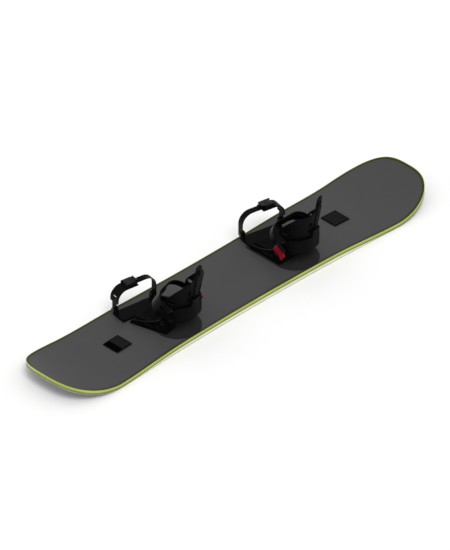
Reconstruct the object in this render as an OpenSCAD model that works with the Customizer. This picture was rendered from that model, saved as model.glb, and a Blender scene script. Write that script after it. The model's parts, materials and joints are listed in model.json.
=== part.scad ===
/* [Board] */
// Length of the board from nose to tail
board_l = 1560; // [1400:10:1650]
// Width at the narrowest place
waist_w = 267; // [255:1:290]
// Width where the nose and the tail begin
end_w = 302; // [285:1:315]
// Length of the nose and of the tail in plan
tip_l = 180; // [150:5:210]
// Fullness of the corners of nose and tail, higher is squarer
tip_shape = 3; // [2:0.1:4]
// Length of the part of the base that lies flat
contact_l = 1146; // [1050:2:1150]
// Height that the ends rise above the snow
tip_lift = 52; // [30:1:70]
// Thickness between the feet
mid_t = 24; // [20:0.5:30]
// Length over which the thickness between the feet holds
thick_l = 620; // [400:10:800]

/* [Layers] */
// Height of the coloured edge band
band_h = 13; // [8:0.5:14]
// Width of the edge band seen from above
band_w = 4; // [3:0.5:8]
// Thickness of the topsheet
topsheet_t = 1; // [0.6:0.1:1.5]
// Thickness of each glass laminate
laminate_t = 0.8; // [0.6:0.1:1.2]
// Thickness of the running base
base_t = 1.2; // [1:0.1:1.6]
// Height of the steel edge
edge_h = 2; // [2:0.1:2.2]
// Width of the steel edge
edge_w = 2.4; // [2:0.1:3]
// Thickness of the pale sidewalls
sidewall_w = 8; // [6:0.5:12]

/* [Inserts] */
// Rows of inserts across the board, from row to row
insert_pitch_y = 40; // [39:1:41]
// Inserts along the board, from one to the next
insert_pitch_x = 20; // [19:1:21]
// Radius of the screw that an insert takes
screw_r = 3; // [2.5:0.5:3]
// Radius of the insert's barrel
insert_r = 5; // [4.6:0.1:6]
// Radius of the insert's foot
insert_foot_r = 8.5; // [7:0.5:9]
// Depth of an insert
insert_d = 12; // [9:0.5:13]

/* [Stance] */
// Left foot from the middle of the board
left_x = 277; // [240:1:300]
// Right foot from the middle of the board
right_x = 240; // [230:1:300]
// Angle of the left foot
left_angle = 15; // [0:1:21]
// Angle of the right foot
right_angle = 0; // [0:1:15]
// Slant of the toe strap across the left foot
left_toe_yaw = -24; // [-26:1:-10]
// Slant of the toe strap across the right foot
right_toe_yaw = 12; // [8:1:24]
// Stomp pads from the middle of the board
pad_x = 466; // [440:1:490]
// Side of a stomp pad
pad_side = 62; // [50:1:70]
// Height of a stomp pad
pad_h = 3.5; // [2.5:0.1:5]

/* [Baseplate] */
// Width of the long pad under the binding
base_w = 148; // [144:1:150]
// Length of that pad behind the foot's middle
base_back = 134; // [130:1:135]
// Length of that pad before the foot's middle
base_front = 106; // [102:1:110]
// Radius of that pad's toe end
base_front_r = 110; // [105:1:120]
// Shift of that pad to the foot's inner side
base_in = 6; // [0:1:8]
// Thickness of that pad
disc_t = 3; // [2:0.2:4]
// Thickness of the baseplate's floor
floor_t = 6; // [5:0.2:8]
// Length of the floor behind the foot's middle
floor_back = 60; // [58:1:64]
// Length of the floor before the foot's middle
floor_front = 60; // [56:1:64]
// Thickness of the side rails
rail_t = 6.3; // [5:0.1:7]
// Radius of the mounting disc's seat in the floor
seat_r = 47; // [44:0.5:50]
// Width of the mounting disc's flange
flange_w = 4; // [3:0.5:5]
// Thickness of that flange
flange_t = 3; // [2.6:0.1:4]
// Thickness of the foot bed above the flange
bed_t = 5; // [3:0.5:7]

/* [Heel] */
// Radius inside the heel hoop
hoop_r = 63.2; // [63:0.1:65]
// Thickness of the heel hoop
hoop_t = 6.5; // [5:0.1:7]
// Middle of the heel's curve behind the foot's middle
heel_y = 58; // [56:1:62]
// Height of the hoop's top edge above the deck
hoop_top = 102; // [96:1:106]
// Height of the pivots above the deck
pivot_h = 42; // [40:1:44]
// Pivots behind the foot's middle
pivot_y = 46; // [44:1:50]
// Radius of the pivot bolts
pivot_r = 4; // [3:0.5:4.5]

/* [Highback] */
// Radius of the shell at the pivots' height
shell_r = 57; // [55:0.5:57.5]
// Outward slope of the shell, run over rise
shell_slope = 0.085; // [0.05:0.005:0.088]
// Outward slope of the shell above the hoop, run over rise
shell_lean = 0.17; // [0.1:0.01:0.18]
// Turn of the highback's tab and spine to the outer side
highback_turn = 12; // [0:1:14]
// Wall of the shell
shell_t = 4; // [3:0.5:5]
// Height of the top tab above the deck
shell_top = 253; // [235:1:260]
// Height of the wings' top edge above the deck
wing_top = 186; // [180:1:190]
// Width of the top tab
tab_w = 24; // [22:1:28]
// Thickness of the pad inside the shell
shell_pad_t = 6; // [4:0.5:8]
// Width of the rear spine that carries the lean adjuster
spine_w = 14; // [12:1:16]
// Height that the spine stands out of the shell
spine_t = 3; // [2:0.2:3.6]
// Height of the lean adjuster
lean_h = 26; // [22:1:30]
// Width of the lean adjuster
lean_w = 34; // [30:1:38]

/* [Straps] */
// Height of the toe strap's bolts above the deck
toe_bolt_h = 30; // [28:1:34]
// Toe strap's bolts before the foot's middle
toe_y = 96; // [94:1:98]
// Half width of the toe strap inside
toe_half = 70; // [68:1:70]
// Height of the toe strap above its bolts, inside
toe_rise = 66; // [62:1:78]
// Bend of the toe strap's corners, outside
toe_bend = 36; // [28:1:44]
// Width of the toe strap
toe_strap_w = 38; // [34:1:42]
// Height of the ankle strap's mounts above the deck
ankle_h = 58; // [57:1:60]
// Ankle strap's mounts behind the foot's middle
ankle_y = 72; // [71:1:74]
// Lean of the ankle strap towards the toes, from upright
ankle_lean = 57; // [55:1:59]
// Length of the ankle strap from its mounts to its top, inside
ankle_rise = 80; // [78:1:86]
// Bend of the ankle strap's corners, inside
ankle_bend = 44; // [40:1:46]
// Width of the ankle strap
ankle_strap_w = 48; // [40:1:50]
// Thickness of both straps
strap_t = 4; // [3:0.5:5]
// Thickness of the ankle strap's foam pad
ankle_pad_t = 5; // [4:0.5:5.5]
// Width of the toothed ladders
ladder_w = 22; // [18:1:24]
// Thickness of the ladders under their teeth
ladder_t = 2.4; // [2:0.1:3]
// Height of a ladder's teeth
tooth_h = 1.2; // [0.8:0.1:1.4]
// Distance from tooth to tooth
tooth_pitch = 5; // [4:0.5:6]
// Radius of the strap bolts
bolt_r = 3; // [2.5:0.5:3.5]
// Radius of a buckle's pin
pin_r = 2; // [1.5:0.1:2.2]
// Thickness of a buckle's cheek
cheek_t = 3; // [2:0.5:3.5]
// Height of a buckle's cheek
cheek_h = 12; // [11:0.5:14]
// Length of a toe lever
toe_lever_l = 42; // [36:1:46]
// Length of an ankle lever
ankle_lever_l = 52; // [44:1:56]

/* [Fits] */
// Running clearance round a pin or a bolt, on the radius
run_fit = 0.05; // [0.02:0.01:0.1]
// Gap between faces that slide past each other
slide_gap = 0.4; // [0.3:0.05:0.6]

/* [Hidden] */

$fn = 48;
reach = 400;
eps = 0.01;

// Board, derived
half_l = board_l / 2;
contact = contact_l / 2;
straight_l = half_l - tip_l;
tip_t = band_h + edge_h;
rise_run = half_l - contact;
tip_r = (rise_run * rise_run + tip_lift * tip_lift) / (2 * tip_lift);
deck_z = mid_t;
taper_run = contact - thick_l / 2;
side_steps = 16;
tip_steps = 30;
taper_steps = 10;
insert_columns = 6;
insert_set_back = 10;
screw_half = insert_pitch_y / 2;
insert_foot_t = 2;
pad_bed = 0.15;

// Bindings, derived
floor_top = disc_t + floor_t;
rail_in = hoop_r + hoop_t;
rail_out = rail_in + rail_t;
flange_r = seat_r + flange_w;
flange_top = floor_top + flange_t;
ear_out = hoop_r - slide_gap;
ear_r = 12;
lug_w = 18;
lug_t = 6;
lug_in = toe_half - slide_gap - lug_t;
bolt_head_r = bolt_r + 3.5;
bolt_head_t = 3;
ankle_half = rail_in + slide_gap;
ankle_out = ankle_half + strap_t;
ankle_top = ankle_rise + strap_t;
ankle_strap_end = 20;
ankle_ladder_start = -6;
ankle_pin = 22;
ankle_bolt_head_r = 6;
ankle_bolt_head_t = 2;
ankle_bolt_grip = 5;
pin_back = 8;
pin_drop = 3.5;
buckle_half = ladder_w / 2 + 1.5;
toe_outer = toe_half + strap_t;
toe_top = toe_rise + strap_t;
ladder_top = toe_top + ladder_t;
toe_x = -4;
toe_plate_l = 54;
toe_lip = 12;
toe_pin_x = -30;
toe_pin_z = toe_top + cheek_h - pin_drop;

// Half width of the board at x, drawn in by inset all round
function side_half(x, inset) =
    waist_w / 2 + (end_w - waist_w) / 2 * pow(x / straight_l, 2) - inset;
function tip_point(i, inset) =
    let (a = 90 * i / tip_steps, p = 2 / tip_shape,
         across = pow(cos(a), p), along = pow(sin(a), 2 / (tip_shape * 0.72)))
    [straight_l + (tip_l - inset) * along, side_half(straight_l, inset) * across];
// One quarter of the outline, from the waist to the very end
function quarter(inset) = concat(
    [for (i = [0:side_steps - 1]) [straight_l * i / side_steps,
                                   side_half(straight_l * i / side_steps, inset)]],
    [for (i = [0:tip_steps]) tip_point(i, inset)]
);
function flipped(points) = [for (i = [len(points) - 1:-1:0]) points[i]];
function outline(inset) = let (q = quarter(inset), n = len(q)) concat(
    q,
    [for (i = [n - 2:-1:0]) [q[i][0], -q[i][1]]],
    [for (i = [1:n - 1]) [-q[i][0], -q[i][1]]],
    [for (i = [n - 2:-1:1]) [-q[i][0], q[i][1]]]
);
// Thickness of the board at x, even between the feet and thinner towards the ends
function thickness(x) = let (s = min(max((abs(x) - thick_l / 2) / taper_run, 0), 1))
    tip_t + (mid_t - tip_t) * (1 + cos(180 * s)) / 2;
function taper_xs() = concat(
    [for (i = [taper_steps:-1:0]) -thick_l / 2 - taper_run * i / taper_steps],
    [for (i = [0:taper_steps]) thick_l / 2 + taper_run * i / taper_steps]
);
// A smooth curve through the given points, with the given steps between two of them
function at_end(points, i) = points[min(max(i, 0), len(points) - 1)];
function spline(a, b, c, d, t) = 0.5 * (2 * b + (c - a) * t + (2 * a - 5 * b + 4 * c - d) * t * t
    + (3 * b - a - 3 * c + d) * t * t * t);
function curve(points, steps = 4) = concat(
    [for (i = [0:len(points) - 2], s = [0:steps - 1])
        spline(at_end(points, i - 1), points[i], points[i + 1], at_end(points, i + 2), s / steps)],
    [points[len(points) - 1]]
);

// Board, a layer between two heights. Heights count up from the base, or down from the deck
// where they are negative
module side_slab(low, high) {
    xs = taper_xs();
    lows = [for (x = xs) [x, low < 0 ? thickness(x) + low : low]];
    highs = [for (x = flipped(xs)) [x, high <= 0 ? thickness(x) + high : high]];
    tip_low = low < 0 ? tip_t + low : low;
    tip_high = high <= 0 ? tip_t + high : high;
    rotate([90, 0, 0]) translate([0, 0, -reach / 2]) linear_extrude(reach)
        polygon(concat(lows, highs));
    for (end = [-1, 1])
        intersection() {
            translate([end * contact, reach / 2, tip_r]) rotate([90, 0, 0])
                difference() {
                    cylinder(r = tip_r - tip_low, h = reach, $fn = 360);
                    translate([0, 0, -1]) cylinder(r = tip_r - tip_high, h = reach + 2, $fn = 360);
                }
            translate([end > 0 ? contact - eps : -contact - tip_r, -reach / 2, -1])
                cube([tip_r + eps, reach, tip_r / 2]);
        }
}
module plan(inset) {
    translate([0, 0, -1]) linear_extrude(reach) polygon(outline(inset));
}
module layer(low, high, inset) {
    intersection() {
        side_slab(low, high);
        plan(inset);
    }
}
module ring(low, high, outer, inner) {
    difference() {
        layer(low, high, outer);
        plan(inner);
    }
}
// Places of the inserts round one foot, in the board's own directions
function insert_places(x, sign) = [
    for (row = [-1, 1], i = [0:insert_columns - 1])
        [x + sign * (insert_pitch_x * (i - (insert_columns - 1) / 2) + insert_set_back),
         row * insert_pitch_y / 2]
];
function all_inserts() = concat(insert_places(-left_x, 1), insert_places(right_x, -1));
module insert_holes(r, low, high) {
    for (p = all_inserts())
        translate([p[0], p[1], low]) cylinder(r = r, h = high - low);
}
insert_low = deck_z - insert_d;

module topsheet() {
    color([0.31, 0.31, 0.31]) difference() {
        layer(-topsheet_t, 0, band_w);
        insert_holes(insert_r + slide_gap, 0, deck_z + 1);
    }
}
module top_laminate() {
    color([0.8, 0.8, 0.7]) difference() {
        layer(-topsheet_t - laminate_t, -topsheet_t, band_w);
        insert_holes(insert_r + slide_gap, 0, deck_z + 1);
    }
}
module edge_band() {
    color([0.7, 0.76, 0.4]) ring(-band_h, 0, 0, band_w);
}
// The sidewall fills the wedge between the band and the steel edge on one side
module sidewall(side) {
    color([0.87, 0.87, 0.78]) difference() {
        intersection() {
            rotate([90, 0, 0]) translate([0, 0, -reach / 2]) linear_extrude(reach)
                polygon(concat(
                    [for (x = taper_xs()) [x, edge_h]],
                    [for (x = flipped(taper_xs())) [x, thickness(x) - band_h]]
                ));
            plan(0);
            translate([-half_l, side > 0 ? 0 : -reach, -1]) cube([board_l, reach, reach]);
        }
        plan(sidewall_w);
    }
}
module toe_sidewall() sidewall(1);
module heel_sidewall() sidewall(-1);
module wood_core() {
    color("burlywood") difference() {
        union() {
            layer(edge_h, -topsheet_t - laminate_t, sidewall_w);
            ring(-band_h, -topsheet_t - laminate_t, band_w, sidewall_w);
        }
        insert_holes(insert_r + slide_gap, 0, deck_z + 1);
        insert_holes(insert_foot_r + slide_gap, insert_low - slide_gap,
                     insert_low + insert_foot_t + slide_gap);
    }
}
module bottom_laminate() {
    color([0.8, 0.8, 0.7]) layer(base_t, edge_h, edge_w);
}
module base_sheet() {
    color([0.1, 0.1, 0.1]) layer(0, base_t, edge_w);
}
module steel_edges() {
    color("silver") ring(0, edge_h, 0, edge_w);
}
module inserts(x, sign) {
    color("silver") for (p = insert_places(x, sign))
        translate([p[0], p[1], insert_low]) difference() {
            union() {
                cylinder(r = insert_foot_r, h = insert_foot_t);
                cylinder(r = insert_r, h = insert_d);
            }
            translate([0, 0, insert_foot_t]) cylinder(r = screw_r + run_fit, h = insert_d);
        }
}
// A pad lies along the deck where the board grows thinner
module on_deck(x) {
    slope = atan((thickness(x + 1) - thickness(x - 1)) / 2);
    translate([x, 0, thickness(x) + pad_bed]) rotate([0, -slope, 0]) children();
}
// Square pad with a bevelled rim and a row of grip bars
module stomp_pad() {
    rim = 4;
    bars = 7;
    bar_pitch = (pad_side - 2 * rim) / bars;
    color([0.12, 0.12, 0.12]) difference() {
        translate([-pad_side / 2, -pad_side / 2, 0]) cube([pad_side, pad_side, pad_h]);
        for (i = [0:bars - 1])
            translate([-pad_side / 2 + rim + bar_pitch * (i + 0.3), -pad_side / 2 + rim, pad_h / 2])
                cube([bar_pitch * 0.4, pad_side - 2 * rim, pad_h]);
    }
}

// Binding, drawn for a left foot with +Y to the toes, its outer side to -X and the deck at 0
module at_left() {
    translate([-left_x, 0, deck_z]) rotate([0, 0, left_angle]) children();
}
module at_right() {
    translate([right_x, 0, deck_z]) rotate([0, 0, right_angle]) mirror([1, 0, 0]) children();
}
// Turns a drawing in Y and Z into a wall that runs from x to x + w
module across(x, w) {
    translate([x, 0, 0]) rotate([90, 0, 90]) linear_extrude(w) children();
}
// A rod along X
module rod(x, w, y, z, r) {
    translate([x, y, z]) rotate([0, 90, 0]) cylinder(r = r, h = w);
}
module both_sides() {
    children();
    mirror([1, 0, 0]) children();
}
module at_toe(yaw) {
    translate([toe_x, toe_y, toe_bolt_h]) rotate([0, 0, yaw]) children();
}
// The mounting screws stand square to the board, whatever the angle of the foot
module square_screws(angle) {
    rotate([0, 0, -angle]) for (x = [-1, 1], y = [-1, 1])
        translate([x * screw_half, y * screw_half, 0]) children();
}

// Round at the heel and gently curved at the toes, and set square to the board
module base_plan() {
    half = base_w / 2;
    corner = asin(half / base_front_r);
    polygon(concat(
        [for (i = [0:60]) let (a = 180 + 3 * i) [half * cos(a), half - base_back + half * sin(a)]],
        [for (i = [0:20]) let (a = 90 - corner + corner * i / 10)
            [base_front_r * cos(a), base_front - base_front_r + base_front_r * sin(a)]]));
}
module base_pad(angle) {
    color([0.16, 0.16, 0.16]) difference() {
        linear_extrude(disc_t) rotate(-angle) translate([base_in, 0]) base_plan();
        square_screws(angle) translate([0, 0, -1])
            cylinder(r = screw_r + slide_gap, h = disc_t + 2);
    }
}
rail_outline = [
    [-floor_back, disc_t], [-floor_back - 4, 36], [-floor_back, 44], [-pivot_y - 8, pivot_h + 7.5],
    [-pivot_y, pivot_h + 9], [-pivot_y + 8, pivot_h + 7.5], [-pivot_y + 20, pivot_h],
    [-8, 33], [26, 22],
    [floor_front, 16], [floor_front + 8, disc_t]
];
rail_window = [[-16, 15], [-22, 26], [-12, 28], [14, 20], [30, 15]];
module baseplate(yaw) {
    color([0.06, 0.06, 0.07]) difference() {
        union() {
            translate([0, 0, disc_t]) linear_extrude(floor_t) union() {
                translate([-rail_out, -floor_back]) square([2 * rail_out, floor_back + floor_front]);
                translate([toe_x, toe_y]) rotate(yaw)
                    translate([-toe_half + slide_gap, -toe_plate_l + toe_lip])
                        square([2 * (toe_half - slide_gap), toe_plate_l]);
            }
            both_sides() across(rail_in, rail_t) polygon(curve(rail_outline));
            at_toe(yaw) for (side = [-1, 1]) {
                x = side > 0 ? lug_in : -lug_in - lug_t;
                across(x, lug_t) union() {
                    circle(r = lug_w / 2);
                    translate([-lug_w / 2, floor_top - floor_t / 2 - toe_bolt_h])
                        square([lug_w, toe_bolt_h - floor_top + floor_t / 2]);
                }
            }
        }
        translate([0, 0, -1]) cylinder(r = seat_r + slide_gap, h = reach, $fn = 120);
        both_sides() across(rail_in - 1, rail_t + 2) polygon(curve(rail_window));
        rod(-reach / 2, reach, -pivot_y, pivot_h, pivot_r + run_fit);
        both_sides() rod(rail_in - 1, reach, hoop_screw[0], hoop_screw[1], bolt_r + run_fit);
        at_toe(yaw) rod(-reach / 2, reach, 0, 0, bolt_r + run_fit);
    }
}
module mounting_disc(angle) {
    color([0.1, 0.1, 0.1]) difference() {
        union() {
            translate([0, 0, disc_t]) cylinder(r = seat_r, h = floor_t, $fn = 120);
            translate([0, 0, floor_top]) cylinder(r = flange_r, h = flange_t, $fn = 120);
        }
        square_screws(angle) {
            cylinder(r = screw_r + slide_gap, h = flange_top + 1);
            translate([0, 0, floor_top]) cylinder(r = screw_head_r + slide_gap, h = flange_t + 1);
        }
    }
}
screw_head_r = 6;
module disc_screws(angle) {
    thread = insert_d - insert_foot_t - 2;
    color("silver") square_screws(angle) difference() {
        union() {
            translate([0, 0, -thread]) cylinder(r = screw_r, h = thread + floor_top);
            translate([0, 0, floor_top]) cylinder(r = screw_head_r, h = flange_t - 0.4);
        }
        translate([0, 0, floor_top + 0.8]) cylinder(r = 2.5, h = flange_t, $fn = 6);
    }
}
// Foot bed in one piece, hollowed over the mounting disc and cut by grip grooves
module footbed() {
    bed_half = hoop_r - 9;
    bed_top = flange_top + bed_t;
    color([0.3, 0.3, 0.31]) difference() {
        translate([0, 0, floor_top]) linear_extrude(bed_top - floor_top) union() {
            translate([-bed_half, -floor_back + 22]) square([2 * bed_half, floor_back + floor_front - 22]);
            translate([0, -floor_back + 22]) intersection() {
                circle(r = bed_half);
                translate([-bed_half, -22]) square([2 * bed_half, 40]);
            }
        }
        cylinder(r = flange_r + slide_gap, h = flange_top, $fn = 120);
        for (y = [-48, -38, 34, 44])
            translate([-bed_half + 8, y, bed_top - 2]) cube([2 * bed_half - 16, 4, 3]);
    }
}
hoop_screw = [-30, 22];
hoop_outline = [
    [-15, 12], [-34, 12], [-62, 22], [-88, 42], [-108, 54], [-140, 60], [-180, 60],
    [-180, hoop_top], [-140, hoop_top], [-104, hoop_top - 1], [-84, hoop_top - 6],
    [-62, hoop_top - 22], [-40, pivot_h + 14],
    [-24, 36], [-13, 24]
];
module hoop_plan(r) {
    union() {
        translate([0, -heel_y]) circle(r = r, $fn = 120);
        translate([-r, -heel_y]) square([2 * r, heel_y + 40]);
    }
}
module heel_hoop() {
    color([0.05, 0.05, 0.06]) difference() {
        intersection() {
            linear_extrude(reach) difference() {
                hoop_plan(rail_in);
                hoop_plan(hoop_r);
                translate([-reach / 2, -8]) square(reach);
            }
            across(-reach / 2, reach) polygon(curve(hoop_outline, 3));
        }
        rod(-reach / 2, reach, -pivot_y, pivot_h, pivot_r + run_fit);
        rod(-reach / 2, reach, hoop_screw[0], hoop_screw[1], bolt_r + run_fit);
        at_ankle() both_sides()
            rod(ankle_half - ankle_bolt_grip - slide_gap, reach, 0, 0, bolt_r + run_fit);
    }
}
module hoop_screws() {
    color("silver") both_sides() {
        rod(hoop_r, rail_out - hoop_r, hoop_screw[0], hoop_screw[1], bolt_r);
        difference() {
            rod(rail_out, 2.2, hoop_screw[0], hoop_screw[1], bolt_head_r);
            rod(rail_out + 1, 2, hoop_screw[0], hoop_screw[1], 2.4);
        }
    }
}
// A bolt on each side carries the highback inside the hoop
module pivot_bolts() {
    head = 3;
    color("silver") both_sides() {
        rod(ear_out - ear_w - head, rail_out - ear_out + ear_w + head, -pivot_y, pivot_h, pivot_r);
        rod(ear_out - ear_w - slide_gap - head, head, -pivot_y, pivot_h, pivot_r + 3);
        difference() {
            rod(rail_out, head, -pivot_y, pivot_h, pivot_r + 4);
            rod(rail_out + head - 1.5, head, -pivot_y, pivot_h, 2.6);
        }
    }
}
ear_w = 6.5;
// Radius of the shell's outside at a height, and the same moved out by more
function shell_at(z) = shell_r + shell_slope * (min(z, hoop_top) - pivot_h)
    + shell_lean * max(z - hoop_top, 0);
module shell_wall(low, high, inner, outer) {
    heights = concat([low], low < hoop_top && high > hoop_top ? [hoop_top] : [], [high]);
    translate([0, -heel_y, 0]) rotate_extrude($fn = 120) polygon(concat(
        [for (z = heights) [shell_at(z) + inner, z]],
        [for (z = flipped(heights)) [shell_at(z) + outer, z]]));
}
// Turns the tab, the spine and what follows them about the heel's middle
module turned() {
    translate([0, -heel_y, 0]) rotate([0, 0, -highback_turn]) translate([0, heel_y, 0]) children();
}
// Side view of the shell with its wings, and front view with its top tab
wing_side = [
    [-170, 44], [-100, 40], [-78, 36], [-60, 32], [-52, 34], [-50, 46], [-58, 60], [-68, 76],
    [-72, 88], [-67, 95], [-60, 97], [-51, 99], [-46, 106], [-47, 117], [-53, 128],
    [-66, 141], [-84, 160], [-104, 178], [-114, wing_top + 6], [-122, wing_top + 38],
    [-130, shell_top + 10], [-170, shell_top + 10]
];
tab_front = [
    [90, wing_top + 2], [62, wing_top - 2], [34, wing_top], [tab_w / 2 + 8, wing_top + 8],
    [tab_w / 2 + 1, wing_top + 22], [tab_w / 2, shell_top - 12], [tab_w / 2 - 5, shell_top - 3],
    [0, shell_top]
];
module tab_mask() {
    right = curve(tab_front);
    left = [for (p = flipped(right)) [-p[0], p[1]]];
    rotate([90, 0, 0]) translate([0, 0, -reach / 2]) linear_extrude(reach)
        polygon(concat([[-90, 0], [90, 0]], right, left));
}
// Middle of a wing's window in Y and Z, and each back slot's X, Z and half width
wing_window = [-66, 117];
back_slots = [[-24, 128, 5], [24, 128, 5], [-24, 152, 5], [24, 152, 5], [0, 220, 4]];
module slot(length, r) {
    translate([-length / 2, 0]) circle(r = r);
    translate([length / 2, 0]) circle(r = r);
    translate([-length / 2, -r]) square([length, 2 * r]);
}
module spine(grow, low) {
    turned() intersection() {
        shell_wall(low, shell_top - 24, -1, spine_t + grow);
        translate([-spine_w / 2 - grow, -reach, 0]) cube([spine_w + 2 * grow, reach, reach]);
    }
}
module highback() {
    color([0.05, 0.05, 0.06]) difference() {
        union() {
            intersection() {
                shell_wall(20, shell_top + 1, -shell_t, 0);
                across(-reach / 2, reach) polygon(curve(wing_side, 3));
                turned() tab_mask();
            }
            spine(0, hoop_top + 3);
            both_sides() {
                rod(ear_out - ear_w, ear_w, -pivot_y, pivot_h, ear_r);
                intersection() {
                    across(ear_out - ear_w, ear_w)
                        polygon([[-pivot_y - ear_r, pivot_h], [-pivot_y + ear_r, pivot_h],
                                 [-pivot_y + 2, pivot_h + 20], [-pivot_y - 22, pivot_h + 34]]);
                    linear_extrude(reach) hoop_plan(ear_out);
                }
            }
        }
        rod(-reach / 2, reach, -pivot_y, pivot_h, pivot_r + run_fit);
        rod(ear_w - ear_out, 2 * (ear_out - ear_w), -pivot_y, pivot_h, pivot_r + 3 + slide_gap);
        // Windows through both wings, and cooling slots through the back
        across(-reach / 2, reach) translate(wing_window) rotate(10) slot(14, 6);
        turned() for (place = back_slots)
            translate([place[0], 0, place[1]]) rotate([90, 0, 0]) linear_extrude(reach)
                rotate(90) slot(8, place[2]);
    }
}
module highback_pad() {
    color([0.08, 0.08, 0.09]) turned() intersection() {
        shell_wall(104, wing_top - 12, -shell_t - shell_pad_t, -shell_t);
        translate([-34, -reach, 0]) cube([68, reach - heel_y - 20, reach]);
    }
}
module lean_adjuster() {
    low = hoop_top + slide_gap;
    color([0.1, 0.1, 0.11]) difference() {
        turned() intersection() {
            shell_wall(low, low + lean_h, slide_gap, spine_t + 6);
            translate([-lean_w / 2, -reach, 0]) cube([lean_w, reach - heel_y, reach]);
        }
        spine(slide_gap, hoop_top - 1);
        turned() for (i = [1:4])
            translate([-lean_w / 2 - 1, -heel_y - shell_at(low) - spine_t - 7, low + i * lean_h / 5])
                cube([lean_w + 2, 1.6, 2]);
    }
}

// A strap's side view as an arch with round corners, its feet below the bolts
module arch(half, top, bend, foot) {
    translate([-half, -foot]) square([2 * half, top - bend + foot]);
    translate([-half + bend, 0]) square([2 * (half - bend), top]);
    for (side = [-1, 1]) translate([side * (half - bend), top - bend]) circle(r = bend, $fn = 72);
}
// A layer of that arch from low to high over its inside, w wide
module arch_wall(size, foot, low, high, w) {
    rotate([90, 0, 0]) translate([0, 0, -w / 2]) linear_extrude(w) difference() {
        arch(size[0] + high, size[1] + high, size[2] + high, foot);
        arch(size[0] + low, size[1] + low, size[2] + low, foot);
        translate([-reach / 2, -reach - foot + eps]) square(reach);
    }
}

// Ankle strap, closed over the instep: the padded strap outside, the ladder inside
module at_ankle() {
    translate([0, -ankle_y, ankle_h]) rotate([-ankle_lean, 0, 0]) children();
}
module ankle_wall(low, high, w) {
    arch_wall([ankle_half, ankle_rise, ankle_bend], ear_r, low, high, w);
}
module ankle_strap() {
    half = ankle_strap_w / 2;
    color([0.05, 0.05, 0.06]) at_ankle() difference() {
        intersection() {
            ankle_wall(0, strap_t, ankle_strap_w);
            across(-reach, reach + ankle_strap_end) union() {
                circle(r = ear_r);
                polygon([[-ear_r, 0], [ear_r, 0], [ear_r, 24], [half, 42], [half, reach],
                         [-half, reach], [-half, 42], [-ear_r, 24]]);
            }
        }
        rod(-reach / 2, reach, 0, 0, bolt_r + run_fit);
        rod(-reach, reach - ankle_out + ankle_bolt_head_t, 0, 0, ankle_bolt_head_r + run_fit);
        // Two long slots in the outer side and two across the top beyond the pad
        for (y = [-14, 14]) translate([0, y, 44]) rotate([0, -90, 0]) linear_extrude(reach) slot(12, 3);
    }
}
module ankle_pad() {
    half = ankle_strap_w / 2;
    color([0.08, 0.08, 0.09]) at_ankle() intersection() {
        ankle_wall(-ankle_pad_t, 0, ankle_strap_w);
        across(-reach, reach + ankle_strap_end - 12)
            polygon([[-half + 8, 34], [half - 4, 34], [half - 4, reach], [-half + 8, reach]]);
    }
}
module ladder_teeth(count) {
    for (i = [0:count - 1])
        translate([0, i * tooth_pitch]) polygon([[0, 0], [tooth_h, 0], [0, tooth_pitch * 0.8]]);
}
module ankle_ladder() {
    color([0.1, 0.1, 0.1]) at_ankle() union() {
        intersection() {
            ankle_wall(strap_t, strap_t + ladder_t, ladder_w);
            translate([ankle_ladder_start, -reach / 2, -reach / 2]) cube(reach);
        }
        rotate([90, 0, 0]) translate([ankle_half - ankle_bend - 2, ankle_top + ladder_t, -ladder_w / 2 + 3])
            linear_extrude(ladder_w - 6) rotate(90) ladder_teeth(5);
    }
}
module ankle_link() {
    length = ankle_rise - ankle_bend;
    color([0.05, 0.05, 0.06]) at_ankle() difference() {
        across(ankle_half, strap_t) union() {
            circle(r = ear_r);
            translate([-ear_r, 0]) square([2 * ear_r, length - ear_r]);
            translate([0, length - ear_r]) circle(r = ear_r);
        }
        rod(-reach / 2, reach, 0, 0, bolt_r + run_fit);
        rod(ankle_out - ankle_bolt_head_t, reach, 0, 0, ankle_bolt_head_r + run_fit);
    }
}
module ankle_bolts() {
    color("silver") at_ankle() both_sides() difference() {
        union() {
            rod(ankle_half - ankle_bolt_grip, ankle_bolt_grip + strap_t - ankle_bolt_head_t, 0, 0, bolt_r);
            rod(ankle_out - ankle_bolt_head_t, ankle_bolt_head_t - run_fit, 0, 0, ankle_bolt_head_r);
        }
        rod(ankle_out - 1.2, ankle_bolt_head_t, 0, 0, 2);
    }
}
// Two cheeks and an end wall on the strap, with the pin of the lever across them
module buckle(length, wall) {
    for (side = [-1, 1])
        translate([0, side > 0 ? buckle_half : -buckle_half - cheek_t, 0]) cube([length, cheek_t, cheek_h]);
    translate([wall[0], -buckle_half, wall[1]]) cube([2, 2 * buckle_half, wall[2]]);
    translate([pin_back, -buckle_half - cheek_t, cheek_h - pin_drop]) rotate([-90, 0, 0])
        cylinder(r = pin_r, h = 2 * (buckle_half + cheek_t));
}
// Lever with its pin's hole at the origin, lying along +X, broader and lifted at its end
module lever(length, half, lift) {
    difference() {
        union() {
            rotate([90, 0, 0]) translate([0, 0, -half]) linear_extrude(2 * half) union() {
                circle(r = 4);
                polygon(curve([[0, -3.6], [length * 0.4, -3], [length * 0.75, -1], [length, lift - 3],
                               [length + 2, lift], [length - 2, lift + 2.4], [length * 0.7, 4.4],
                               [length * 0.35, 4.2], [0, 4]], 3));
            }
        }
        rotate([90, 0, 0]) translate([0, 0, -reach / 2]) cylinder(r = pin_r + run_fit, h = reach);
        for (i = [0:3])
            translate([length * 0.4 + i * 5, -half - 1, 3.4 + i * lift / 16]) cube([1.6, 2 * half + 2, 8]);
    }
}
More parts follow.
